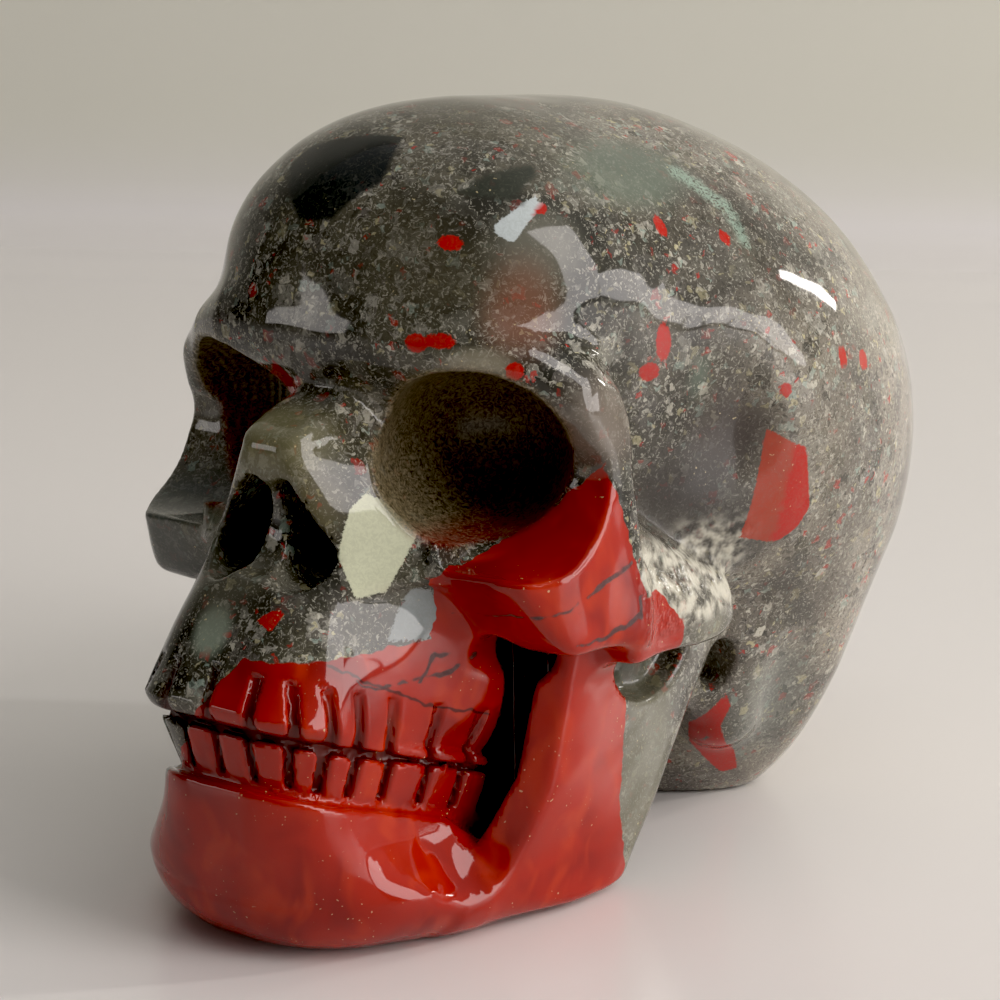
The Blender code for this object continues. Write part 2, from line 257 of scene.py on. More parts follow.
def carving(side, y, z):
    """The whole skull. Left and right match, but the jaw's foot lies a little to the right."""
    x = size(side)
    d = join(head(x, y, z), nose(x, y, z), 2)
    d = join(d, cheek(x, y, z), 1.5)
    bite, above, upper, lower = rows(x, y, z)
    row = trim(trim(upper, trim(z - 53, -above, 1), 3), trim(y - 8, x - 22, 3), 3)
    d = join(d, row, 3)
    row = trim(trim(lower, trim(above - 2, 8 - z, 1), 1), y - 8, 3)
    d = join(d, row, 0.6)
    # Bite line and partings
    d = trim(d, -trim(size(above) - 0.5, -lower - 1.8, 0.5), 0.6)
    gap = partings(x, y, 14.6, -53.9, 0.12, 9, (0, 7.1, 13.1, 18.1, 22.6, 28, 35, 42), 0.65)
    tall = trim(-above - 0.4, above - y*0.02 - 8.9, 1)
    d = trim(d, -trim(gap, trim(tall, above*0.12 - upper - 1.5, 0.5), 0.4), 0.8)
    gap = partings(x, y, 13.8, -52.8, 0.16, 9, (0, 5.4, 11.4, 16.1, 20.9, 26.4, 33, 39), 0.55)
    tall = trim(above, -6.2 - above, 1)
    d = trim(d, -trim(gap, trim(tall, -lower - 1.5, 0.5), 0.4), 0.8)
    # Deep slot behind the last molars
    web = trim(trim(x - 26, -8 - y, 1), plane(x, y, z, (0, 0.83, -0.55), (0, -5, 0)), 1)
    d = join(d, trim(web, trim(9 - z, z - 46, 1), 1), 1)
    slot = trim(trim(15.5 - x, x - 25, 1), trim(-18.9 - y, y + 9, 2), 1.5)
    d = trim(d, -trim(slot, trim(z - 43, 14 - z, 2), 2), 1)
    # Lower jaw, its foot shifted to the right
    chin = most(bite - 7.5, 18)
    drop = clamp((chin - z)/(chin - 9), 0, 1)
    shift = clamp((23 - z)/15, 0, 1)
    shift = shift*shift*(9 - shift*6)
    d = join(d, jaw(x, size(side + shift), y, z, bite, drop*drop), 1)
    d = join(d, zygoma(x, y, z), 4)
    # Hollow under the jaw, and the gap between the jaw and the back of the head
    d = trim(d, -trim(trim(bow(x, y, 7, -34, 0.3, 6), z - 20, 5), y - 24, 6), 2)
    d = trim(d, -rod(x, y, z, (31, 16, 12, 3), (26, 16, 2, 8)), 3)
    d = trim(d, -egg(x, y, z, (31.3, 21.6, 27), (9, 2.7, 4.4), yaw=-25), 0.8)
    for hollow in sockets(x, y, z):
        d = trim(d, -hollow, 0.8)
    d = trim(d, -rod(x, y, z, (25.5, -36, 38.8, 4), (24, -12, 38.8, 4)), 1)
    d = trim(d, -egg(x, y, z, (45, 3, 64), (9.5, 12, 15)), 6)
    # Nose opening
    d = trim(d, -rod(x, (y + 38)*(1/3.2), z, (2.6, 0, 61.5, 2.1), (6, 0, 53.2, 4)), 0.8)
    d = trim(d, -egg(x, y, z, (0, -44, 57.5), (5.5, 5, 6.5)), 1)
    d = d + wander(side, y, z)*clamp(z*0.2, 0, 1)
    return most(d, -z)


# From the field to a surface


def lines(stops):
    """Grid lines through (place, step) stops, each step kept up to the next stop."""
    out = [np.linspace(a, b, max(2, round((b - a)/step) + 1))[:-1]
           for (a, step), (b, _) in zip(stops[:-1], stops[1:])]
    return np.concatenate(out + [[stops[-1][0]]])


def skin(field, xs, ys, zs):
    """Surface nets: each grid cell that the field's zero crosses gets one point, the mean of the
    crossings on its edges, and each crossed edge gets a face between its four cells."""
    d = np.stack([field(*np.meshgrid([x], ys, zs, indexing="ij"))[0] for x in xs]).astype(np.float32)
    shape = np.array(d.shape) - 1
    stride = np.array([shape[1]*shape[2], shape[2], 1])
    grid = (xs, ys, zs)
    cells, places, faces = [], [], []
    for axis in range(3):
        p, q = (axis + 1) % 3, (axis + 2) % 3
        a = d.take(range(d.shape[axis] - 1), axis)
        b = d.take(range(1, d.shape[axis]), axis)
        edge = np.argwhere((a < 0) != (b < 0))
        va, vb = a[tuple(edge.T)], b[tuple(edge.T)]
        point = np.stack([grid[k][edge[:, k]] for k in range(3)], 1)
        after = grid[axis][edge[:, axis] + 1]
        point[:, axis] += va/(va - vb)*(after - point[:, axis])
        ring = []
        for dp, dq in ((1, 1), (0, 1), (0, 0), (1, 0)):
            cell = edge.copy()
            cell[:, p] -= dp
            cell[:, q] -= dq
            ring.append(cell)
        good = np.all([(c >= 0).all(1) & (c < shape).all(1) for c in ring], 0)
        ring = [(c[good]*stride).sum(1) for c in ring]
        for c in ring:
            cells.append(c)
            places.append(point[good])
        quad = np.stack(ring, 1)
        faces.append(np.where((va[good] < 0)[:, None], quad, quad[:, ::-1]))
    cells, places = np.concatenate(cells), np.concatenate(places)
    used, index = np.unique(cells, return_inverse=True)
    count = np.bincount(index)
    points = np.stack([np.bincount(index, places[:, k])/count for k in range(3)], 1)
    return points, np.searchsorted(used, np.concatenate(faces))


def slope(field, points, step=0.04):
    """Field value and gradient at points, by central differences."""
    grad = np.empty_like(points)
    for k in range(3):
        shift = np.zeros(3)
        shift[k] = step
        grad[:, k] = (field(*(points + shift).T) - field(*(points - shift).T))/(2*step)
    return field(*points.T), grad


def settle(field, points, rounds=3, reach=0.3):
    """Moves points onto the field's zero along its gradient, then gives their outward normals."""
    for _ in range(rounds):
        d, grad = slope(field, points)
        move = d/np.maximum((grad*grad).sum(1), 0.25)
        points = points - np.clip(move, -reach, reach)[:, None]*grad
    _, grad = slope(field, points, 0.1)
    return points, grad/np.maximum(np.linalg.norm(grad, axis=1, keepdims=True), 1e-9)


# Places of grid lines and the step from each on: fine at the face, coarse behind and above
ACROSS = ((0, 0.72), (38, 1.0), (48, 1.0))
ALONG = ((-57, 0.62), (-38, 0.75), (-8, 1.1), (8, 1.5), (42, 2.3), (91, 2.3))
UP = ((-0.9, 0.9), (16, 0.68), (46, 0.9), (80, 1.5), (111, 1.5))

FAR_OUTSIDE = -20         # in edge widths, where no angular lump is near


def ramp(a, start, end):
    """0 before start and 1 after end, smooth between."""
    t = clamp((a - start)/(end - start), 0, 1)
    return t*t*(3 - 2*t)


def soft_lumps_and_shade(points):
    """Colour and cover at each point of all the soft ellipsoids in the table of lumps, some of them
    painted shade, laid over each other.
    """
    out = np.zeros((len(points), 4))
    for tone, centre, radii, edge, strength in LUMPS_AND_SHADE:
        far = np.linalg.norm((points - centre)/radii, axis=1)
        share = (1 - ramp(far, 1 - edge, 1 + edge))[:, None]*strength
        out = out*(1 - share) + share*np.array(tone)
    return out


def angular_lumps(points):
    """Colour of the nearest of PLUGS and FLECKS, and how far the point lies inside it over its
    edge's width. A plug is a convex outline on the surface, carried PLUG_DEPTH to either side; the
    distance inside it is the least of the distances to its faces."""
    depths = []
    for tone, edge, corners in PLUGS:
        corners = np.array(corners, float)
        middle, after = corners.mean(0), np.roll(corners, -1, 0)
        way = np.cross(corners - middle, after - middle).sum(0)
        way /= np.linalg.norm(way)
        inner = PLUG_DEPTH - np.abs((points - middle) @ way)
        for corner, face in zip(corners, np.cross(after - corners, way)):
            inner = least(inner, (corner - points) @ face/np.linalg.norm(face))
        depths.append((tone, inner/edge))
    for centre, radii in FLECKS:
        inner = (1 - np.linalg.norm((points - centre)/radii, axis=1))*min(radii)
        depths.append((RED, inner/FLECK_EDGE))
    out = np.tile((0.0, 0.0, 0.0, FAR_OUTSIDE), (len(points), 1))
    for tone, inner in depths:
        nearer = inner > out[:, 3]
        out[nearer, :3] = tone[:3]
        out[nearer, 3] = inner[nearer]
    return out


def cuts(points):
    """How deep each point lies in a cut between the teeth, and how surely it lies on the wall of
    an eye socket, in the dark slot behind the left molars and on the raw ledge above an arch."""
    side, y, z = points.T
    x = size(side)
    _, above, upper, lower = rows(x, y, z)
    depth = np.where(above > 0, -upper, -lower)
    near = (above > -7)*(above < 9)*(y < -12)
    bore, trough = sockets(x, y, z)
    wall = clamp(1.3 - size(bore), 0, 1)*clamp((trough - bore)*1.2 + 0.5, 0, 1)
    slot = ramp(side, 15, 16)*(1 - ramp(side, 24.6, 25.2))*ramp(y, -18.6, -17.1)*(1 - ramp(y, -8, -7))
    ledge = ramp(x, 32, 34)*ramp(y, -13, -11)*(1 - ramp(y, 15, 18))
    # The groove and slot values place painted shade, and some dirt in the cuts, in the stone's colour.
    return {"groove": clamp((depth - 0.25)/0.9, 0, 1)*near,
            "socket": wall*(y > -37),
            "slot": slot*ramp(z, 13, 15)*(1 - ramp(z, 42, 44)),
            "raw": ledge*ramp(z, 39, 41)*(1 - ramp(z, 50, 54))}


def stone_mesh(name):
    """The carving as one mesh in metres, with exact normals. Its point attributes are the cuts and the
    lumps in the stone, some of both giving painted shade."""
    half = lines(ACROSS)
    points, faces = skin(carving, np.concatenate([-half[:0:-1], half]), lines(ALONG), lines(UP))
    points, normals = settle(carving, points)
    mesh = bpy.data.meshes.new(name)
    mesh.from_pydata(((points - (0, MIDDLE, 0))*UNIT).tolist(), [], faces.tolist())
    for title, values in cuts(points).items():
        layer = mesh.attributes.new(title, "FLOAT", "POINT")
        layer.data.foreach_set("value", values.astype(np.float32))
    for title, values in (("lumps", soft_lumps_and_shade(points)), ("plugs", angular_lumps(points))):
        layer = mesh.attributes.new(title, "FLOAT_COLOR", "POINT")
        layer.data.foreach_set("color", values.astype(np.float32).ravel())
    mesh.shade_smooth()
    mesh.normals_split_custom_set_from_vertices(normals.tolist())
    return mesh


# Shader expressions


class Wire:
    """A shader socket that plain arithmetic can be written on."""

    def __init__(self, maker, socket):
        self.maker = maker
        self.socket = socket

    def math(self, operation, *values):
        return self.maker.node("Math", {"operation": operation}, dict(enumerate(values)))

    def __add__(self, other):
        return self.math("ADD", self, other)

    def __sub__(self, other):
        return self.math("SUBTRACT", self, other)

    def __mul__(self, other):
        return self.math("MULTIPLY", self, other)

    def __radd__(self, other):
        return self.math("ADD", other, self)

    def __rsub__(self, other):
        return self.math("SUBTRACT", other, self)

    def __rmul__(self, other):
        return self.math("MULTIPLY", other, self)

    def least(self, other):
        return self.math("MINIMUM", self, other)

    def most(self, other):
        return self.math("MAXIMUM", self, other)

    def size(self):
        return self.math("ABSOLUTE", self)

    def sine(self):
        return self.math("SINE", self)

    def clip(self):
        return self.maker.node("Clamp", {}, {0: self})

    def step(self, start, end):
        """0 before start and 1 after end, smooth between."""
        return self.maker.node("MapRange", {"interpolation_type": "SMOOTHSTEP"},
                               {"Value": self, "From Min": start, "From Max": end})


class Finish:
    """A material or a world whose nodes are written as expressions."""

    def __init__(self, owner, surface="Principled BSDF"):
        owner.use_nodes = True
        self.tree = owner.node_tree
        self.surface = self.tree.nodes[surface]

    def node(self, kind, settings, values, out=0):
        """Any node: its settings first, then the values or links of its sockets, and one output."""
        node = self.tree.nodes.new("ShaderNode" + kind)
        for name, value in settings.items():
            if name == "stops":
                self.set_stops(node.color_ramp, value)
            else:
                setattr(node, name, value)
        for name, value in values.items():
            if isinstance(value, Wire):
                self.tree.links.new(value.socket, node.inputs[name])
            else:
                node.inputs[name].default_value = value
        return Wire(self, node.outputs[out])

    def set_stops(self, band, colours):
        """Equal bands of colour, with sharp ends."""
        band.interpolation = "CONSTANT"
        for k, colour in enumerate(colours):
            stop = band.elements[k] if k < 2 else band.elements.new(k/len(colours))
            stop.position = k/len(colours)
            stop.color = colour

    def vector(self, operation, *values, out=0):
        return self.node("VectorMath", {"operation": operation}, dict(enumerate(values)), out)

    def dot(self, spot, way):
        return self.vector("DOT_PRODUCT", spot, tuple(way), out="Value")

    def place(self):
        """Object coordinates in carving units."""
        spot = self.node("TexCoord", {}, {}, "Object")
        spot = self.vector("MULTIPLY", spot, (1/UNIT, 1/UNIT, 1/UNIT))
        return self.vector("ADD", spot, (0, MIDDLE, 0))

    def parts(self, spot):
        split = self.node("SeparateXYZ", {}, {0: spot})
        return [Wire(self, socket) for socket in split.socket.node.outputs]

    def noise(self, spot, scale, detail=2.0, roughness=0.5, colour=False):
        return self.node("TexNoise", {}, {"Vector": spot, "Scale": scale, "Detail": detail,
                                          "Roughness": roughness}, 1 if colour else 0)

    def warp(self, spot, scale, amount, detail=2.0):
        """Coordinates pushed about by noise, up to amount units."""
        push = self.vector("SUBTRACT", self.noise(spot, scale, detail, colour=True), (0.5, 0.5, 0.5))
        return self.vector("ADD", spot, self.vector("MULTIPLY", push, (2*amount,)*3))

    def mix(self, factor, a, b):
        """Colour a where the factor is 0 and b where it is 1."""
        return self.node("Mix", {"data_type": "RGBA"}, {0: factor, 6: a, 7: b}, 2)

    def shards(self, spot, scale, share, reach, soft=0.05):
        """Square-cornered chips about scattered seeds: the given share of the cells, filled out to reach.
        Gives where they are, and a random number for each."""
        seeds = self.node("TexVoronoi", {"feature": "F1", "distance": "CHEBYCHEV"},
                          {"Vector": spot, "Scale": scale})
        pick, tone, _ = self.parts(Wire(self, seeds.socket.node.outputs["Color"]))
        return (pick + share).step(0.99, 1.01)*(1 - seeds.step(reach - soft, reach + soft)), tone

    def seam(self, spot, points, half, edge=0.12):
        """1 within half of a line through the points, half given at each, 0 away from it."""
        near = None
        for (a, ra), (b, rb) in zip(zip(points, half), zip(points[1:], half[1:])):
            a, run = np.array(a), np.array(b) - a
            away = self.vector("SUBTRACT", spot, a)
            along = self.dot(away, run/(run @ run)).clip()
            foot = self.node("VectorMath", {"operation": "SCALE"}, {0: tuple(run), "Scale": along})
            far = self.vector("LENGTH", self.vector("SUBTRACT", away, foot), out="Value")
            far = far - (along*(rb - ra) + ra)
            near = far if near is None else near.least(far)
        return 1 - near.step(-edge, edge)

    def value(self, name, out="Fac"):
        """One of the mesh's own attributes."""
        return self.node("Attribute", {"attribute_name": name}, {}, out)

    def put(self, name, value):
        """Sets or links a socket of the surface itself."""
        if isinstance(value, Wire):
            self.tree.links.new(value.socket, self.surface.inputs[name])
        else:
            self.surface.inputs[name].default_value = value


def rgb(red, green, blue):
    """Screen colour 0-255 as linear light, opaque."""
    shares = [v/255 for v in (red, green, blue)]
    return tuple(v/12.92 if v < 0.0405 else ((v + 0.055)/1.055)**2.4 for v in shares) + (1,)


# Bloodstone

DEEP = rgb(42, 41, 35)        # clear dark ground
OLIVE = rgb(84, 81, 68)
SMOKE = rgb(100, 96, 91)
SAND_AND_LIGHT = rgb(152, 144, 132)     # paler ground behind, with painted light where the daylight falls
ASH = rgb(142, 140, 130)
PALE = rgb(170, 167, 156)
CREAM = rgb(204, 200, 184)
MINT = rgb(150, 166, 154)
SEAFOAM = rgb(146, 168, 152)  # streak over the temple
GOLD = rgb(190, 182, 142)
PYRITE = rgb(214, 196, 150)
RED = rgb(176, 24, 12)
JASPER = rgb(158, 32, 13)
MAROON = rgb(126, 18, 9)
EMBER = rgb(178, 50, 18)
BRICK = rgb(160, 58, 38)
VEIN = rgb(76, 58, 58)
VEIN_DARK = rgb(34, 22, 22)
CUT_DIRT_AND_SHADE = rgb(58, 9, 6)           # dirt and painted shade in the cuts between the teeth
SLOT_SHADOW = rgb(16, 6, 5)          # painted shadow deep in the slot behind the molars
CHIP = rgb(204, 206, 178)     # pale chert beside the nose
BORE = rgb(98, 88, 64)        # dull wall of a socket, above
BORE_RED = rgb(124, 20, 12)   # and below
BORE_PALE = rgb(150, 134, 104)
BORE_DARK = rgb(30, 22, 14)
DULL = (DEEP, SMOKE, OLIVE, ASH, SMOKE)
BRIGHT = (DEEP, OLIVE, PALE, SMOKE, CREAM, ASH, MINT, DEEP, ASH, RED, GOLD)

# Chips in the ground: cells to a unit, share filled, how far out, strength, colours
CHIPS = (
    (0.24, 0.44, 0.46, 0.6, DULL),
    (0.55, 0.34, 0.42, 0.65, BRIGHT),
    (1.2, 0.44, 0.40, 0.65, BRIGHT),
)

# Soft lumps that the stone shows through, and some painted shade: colour, centre, radii, softness,
# strength
LUMPS_AND_SHADE = (
    (rgb(112, 110, 98), (25, -17, 92), (5, 6, 5), 0.5, 0.7),
    (rgb(122, 84, 66), (25.5, -21, 84.5), (4, 5, 6), 0.6, 0.7),
    (rgb(146, 140, 122), (22.5, -26.5, 77.8), (5, 3.5, 2.2), 0.4, 0.7),
    (rgb(96, 106, 94), (26, 4, 100), (8, 11, 5), 0.4, 0.75),
    (rgb(132, 150, 134), (38.5, 4.2, 71.6), (2.4, 2.5, 4.5), 0.5, 0.6),
    # The next three darken the hollow of the temple behind the cheekbone: dark stone, with painted shade
    # in the hollow.
    (rgb(50, 46, 44), (35.5, 3.5, 55.5), (8, 9, 7), 0.5, 0.8),
    (rgb(58, 56, 54), (37, 12.5, 48.5), (8, 7, 5.5), 0.5, 0.75),
    (rgb(60, 52, 48), (40, 9, 65), (6, 7, 6), 0.5, 0.8),
    (rgb(140, 150, 134), (-2.6, -49.2, 44.6), (2.6, 2.6, 4), 0.4, 0.8),
    (rgb(116, 112, 84), (0, -40, 68), (7, 9, 5), 0.5, 0.75),
    (rgb(98, 92, 68), (7, -42, 60), (5, 6, 5), 0.5, 0.6),
    (rgb(98, 98, 84), (-14.5, -33, 53), (10, 9, 8), 0.5, 0.7),
    (rgb(88, 92, 88), (-30, -24, 48), (9, 10, 9), 0.5, 0.8),
    (rgb(106, 104, 88), (29, 3, 20), (7, 6.5, 20), 0.35, 0.7),
    (rgb(122, 120, 104), (34, 6, 38), (6, 5, 5), 0.4, 0.7),
    (rgb(66, 68, 60), (24, 2, 36), (7, 9, 8), 0.4, 0.7),
    (rgb(118, 124, 118), (26, 36, 22), (9, 9, 14), 0.5, 0.5),
    (rgb(122, 112, 102), (33, -16, 70), (6, 6, 6), 0.5, 0.75),
    (rgb(66, 62, 50), (4, -2, 106), (15, 12, 5), 0.5, 0.45),
    # Darkens the forehead above the left eye: painted shade.
    (rgb(60, 56, 42), (14, -25, 90), (9, 6, 8), 0.6, 0.5),
    (rgb(96, 94, 82), (-4, -44, 50), (6, 6, 6), 0.5, 0.6),
)

# Angular lumps: colour, softness, and the corners of each on the surface
PLUGS = (
    (rgb(22, 28, 30), 0.35, ((-12.6, -20, 100.3), (-11.2, -17.7, 102.6), (-2.2, -17, 104.6),
                             (3.8, -16.4, 104.6), (5.7, -23.2, 99.8), (0.5, -27.6, 94.9),
                             (-4.6, -27.7, 94.1), (-9.8, -24, 97.5))),
    (rgb(46, 50, 42), 0.5, ((15.4, -20.3, 98.6), (17, -16.7, 100.6), (20.3, -10.7, 101.5),
                            (21.3, -11.6, 100.4), (21.2, -16.4, 97.6), (17.4, -19.5, 98.1))),
    (rgb(190, 198, 198), 0.12, ((20.7, -19.9, 94.8), (22.8, -13.6, 98.1), (23.8, -14.1, 96.8),
                                (23.2, -19.3, 92.5), (21, -20.4, 93.9))),
    (BRICK, 0.12, ((41, 15.2, 64.8), (43.5, 18.6, 62.4), (39.3, 20, 47.5), (37.5, 14.3, 49.1))),
    (RED, 0.12, ((43.5, 18.6, 62.4), (44.2, 20.6, 61.6), (42.9, 24.4, 52), (41.6, 23.4, 49.2),
                 (39.7, 20.9, 47.3), (39.3, 20, 47.5))),
    (CHIP, 0.12, ((10.1, -39.4, 54.2), (9.8, -36.3, 59.7), (10.4, -33.9, 61.2), (11.8, -32.3, 60.4),
                  (15.8, -30, 56.4), (16.4, -31.8, 55.2), (15, -35.7, 49.4), (12.9, -39.4, 49))),
    (rgb(142, 148, 148), 0.2, ((15.9, -35, 45.9), (16.9, -33.2, 49.6), (18.7, -30.9, 49.1),
                               (19.1, -29.9, 45.6), (18.5, -31.2, 42.5), (15.7, -37, 43.2))),
    (RED, 0.1, ((3.7, -47.8, 46.6), (5.3, -47, 47.9), (7.4, -46.2, 48.2), (6.4, -48.3, 45.6))),
    (RED, 0.12, ((22.9, 26, 15.9), (30, 24.9, 22.3), (29.7, 26.4, 19.5), (27.8, 26.8, 16.1),
                 (20.9, 29.4, 11.6))),
    (RED, 0.12, ((27.8, 26.8, 16.1), (24.9, 36.4, 8.4), (23.8, 39, 5), (21.9, 37.2, 4.5),
                 (20.9, 29.4, 11.6))),
    (rgb(140, 30, 20), 0.2, ((-8, -30, 76.5), (-6.5, -27, 74), (-8, -25, 69.5), (-10.5, -28, 70))),
)
PLUG_DEPTH = 6            # how far a plug goes to either side of its outline
STREAK = ((27.2, 13.6, 98.7), (32.8, 17.1, 94.1), (36.4, 16.4, 89.6))
STREAK_HALF = (1.5, 1.2, 0.7)
SWIRL = (19.8, -20, 65.7)     # centre of the tool's marks in the left socket

# Dark veins through the red: points on the surface and half widths there
VEINS = (
    (((20.4, -28.9, 45.7), (33.1, -28.1, 47.2), (35.5, -25.5, 47.6), (36.8, -19.2, 49.9),
      (37.7, -13.4, 51.6)), (0.12, 0.24, 0.22, 0.4, 0.3)),
    (((30.8, -24.9, 41.7), (36.4, -23.6, 42.9), (37.2, -19.4, 42.8), (38.8, -13, 44.7)),
     (0.08, 0.14, 0.3, 0.46)),
    (((15.2, -42.5, 39.4), (16.1, -39.7, 37.7), (19.6, -29.3, 37.7), (20.7, -24.5, 39.1)),
     (0.12, 0.2, 0.34, 0.45)),
    (((18.1, -33, 37.1), (19, -30.6, 40.5), (20.7, -24.5, 39.3)), (0.3, 0.34, 0.3)),
    (((38.6, -12.5, 47.1), (38.8, -12.8, 44.4)), (0.32, 0.3)),
    (((27.5, 25.2, 19.2), (21.5, 27.8, 13.4)), (0.14, 0.14)),
)

# Single red flecks: centre and radii
FLECKS = (
    ((16.9, -24.1, 92.7), (1.9, 1.4, 1.0)), ((14.6, -25, 95.2), (0.9, 0.9, 0.8)),
    ((31.2, 2.9, 93.1), (1.2, 1.0, 2.6)), ((35, 13.2, 90.6), (1.0, 1.0, 1.7)),
    ((15.7, -29.7, 80.6), (1.7, 1.5, 1.2)), ((18.6, -28.6, 81), (2.4, 1.4, 1.0)),
    ((23.9, -14.3, 96.6), (0.9, 1.0, 1.0)), ((33.9, -3.5, 74.7), (1.5, 1.6, 1.3)),
    ((34.6, -1.5, 78.5), (1.4, 1.2, 2.6)), ((45.2, 28.7, 73), (1.6, 1.0, 2.0)),
    ((45.4, 34.6, 71.7), (1.5, 1.3, 1.6)), ((42.6, 13.1, 68.6), (1.4, 1.0, 1.3)),
    ((26.9, -24.2, 77.3), (1.2, 1.2, 1.2)), ((43.4, 16.5, 70), (1.2, 1.0, 1.2)),
    ((44.5, 36, 62), (1.2, 1.0, 1.6)), ((42.5, 26, 84), (1.2, 1.3, 0.9)),
)
FLECK_EDGE = 0.12


def matrix(f, loose, bent, ragged, y):
    """Mottled ground: dark and clear in front, paler behind, partly the stone's own change and partly
    painted light and shade, crowded with chips of three sizes, the smaller ones brighter, and threaded
    with thin pale wisps."""
    slow = f.noise(loose, 0.05, 2.0)
    crowd = f.noise(loose, 0.10, 2.0).step(0.36, 0.64)
    # Paler behind: the stone's own change, with painted light on the rear where the daylight falls and
    # painted shade on the front.
    rear_pale_and_lit = (y*0.012 + slow*1.3 - 0.42).clip()
    colour = f.mix(slow.step(0.38, 0.60), DEEP, OLIVE)
    colour = f.mix(rear_pale_and_lit*0.9, colour, SAND_AND_LIGHT)
    for scale, share, reach, strength, tones in CHIPS:
        inside, tone = f.shards(ragged, scale, share, reach)
        chip = f.node("ValToRGB", {"stops": tones}, {0: tone})
        colour = f.mix(inside*(crowd*0.75 + 0.25)*strength, colour, chip)
    clear = f.noise(loose, 0.085, 1.0)
    colour = f.mix(clear.step(0.56, 0.66)*0.6, colour, f.mix(rear_pale_and_lit, DEEP, SMOKE))
    colour = f.mix((1 - clear.step(0.33, 0.42))*0.5, colour, f.mix(rear_pale_and_lit, OLIVE, PALE))
    wisp = f.noise(bent, 0.17, 3.0, 0.6) - 0.5
    wisp = (1 - wisp.size().step(0.0, 0.012))*slow.step(0.45, 0.6)
    return f.mix(wisp*0.45, colour, PALE)


def red_mass(f, bent):
    """Where the red jasper is: under a level top through the front teeth, in front of a steep
    plane across the cheekbone and another down the jaw, and along the front of the arch."""
    x, y, z = f.parts(bent)
    top = 42.4 - (4 - x).most(0)*1.3
    top = top.most(x*0.3 + 26).most((x*12 - 178).least(x*0.9 + 33.4))
    cheek = (z - 50)*-0.26 - 12.2 - y
    jaw = (36 - z).least(-3.1 - y)
    arch = (46.6 - (y + 7).most(0)*1.1 - z).least(z - 34).least(-1.2 - y)
    behind = cheek.most(jaw).most(arch)
    return (top - z).least(behind).step(-0.12, 0.12)


def jasper(f, loose, bent, grit):
    """Red jasper: three reds in clouds and upright streaks, with grey-brown veins."""
    cloud = f.noise(loose, 0.08, 2.0)
    colour = f.mix(cloud.step(0.42, 0.66)*0.8, JASPER, MAROON)
    streak = f.noise(f.vector("MULTIPLY", loose, (1, 1, 0.35)), 0.2, 2.0)
    colour = f.mix(streak.step(0.50, 0.70)*0.7, colour, EMBER)
    colour = f.mix(grit.step(0.62, 0.76)*0.3, colour, MAROON)
    vein = None
    for points, half in VEINS:
        line = f.seam(bent, points, half)
        vein = line if vein is None else vein.most(line)
    colour = f.mix(vein*0.9, colour, f.mix(grit.step(0.35, 0.65), VEIN, VEIN_DARK))
    return colour, vein


def gum_groove_shade(f, bent, x):
    """Painted shade of a thin groove along the gums of the left upper teeth, rising toward the front
    ones.
    """
    _, y, z = f.parts(bent)
    above = z + y*BITE_SLOPE - BITE_LEVEL
    line = 1 - (above - 8.1 - (-32 - y).most(0)*0.21).size().step(0.1, 0.34)
    return line*(y + 46).step(0, 0.5)*(-21 - y).step(0, 0.5)*x.step(12, 13)*(1 - x.step(21, 22))


def bore_wall(f, x, z, grit):
    """The round bore of each socket was left dull: brown above and dark red below, speckled."""
    low = (x.size() - 19)*0.10 + (62 - z)*0.14
    wall = f.mix((low + grit - 0.5).step(0.1, 1.0), BORE, BORE_RED)
    wall = f.mix(grit.step(0.45, 0.65)*0.6, wall, BORE_PALE)
    return f.mix((1 - grit.step(0.35, 0.5))*0.7, wall, BORE_DARK)


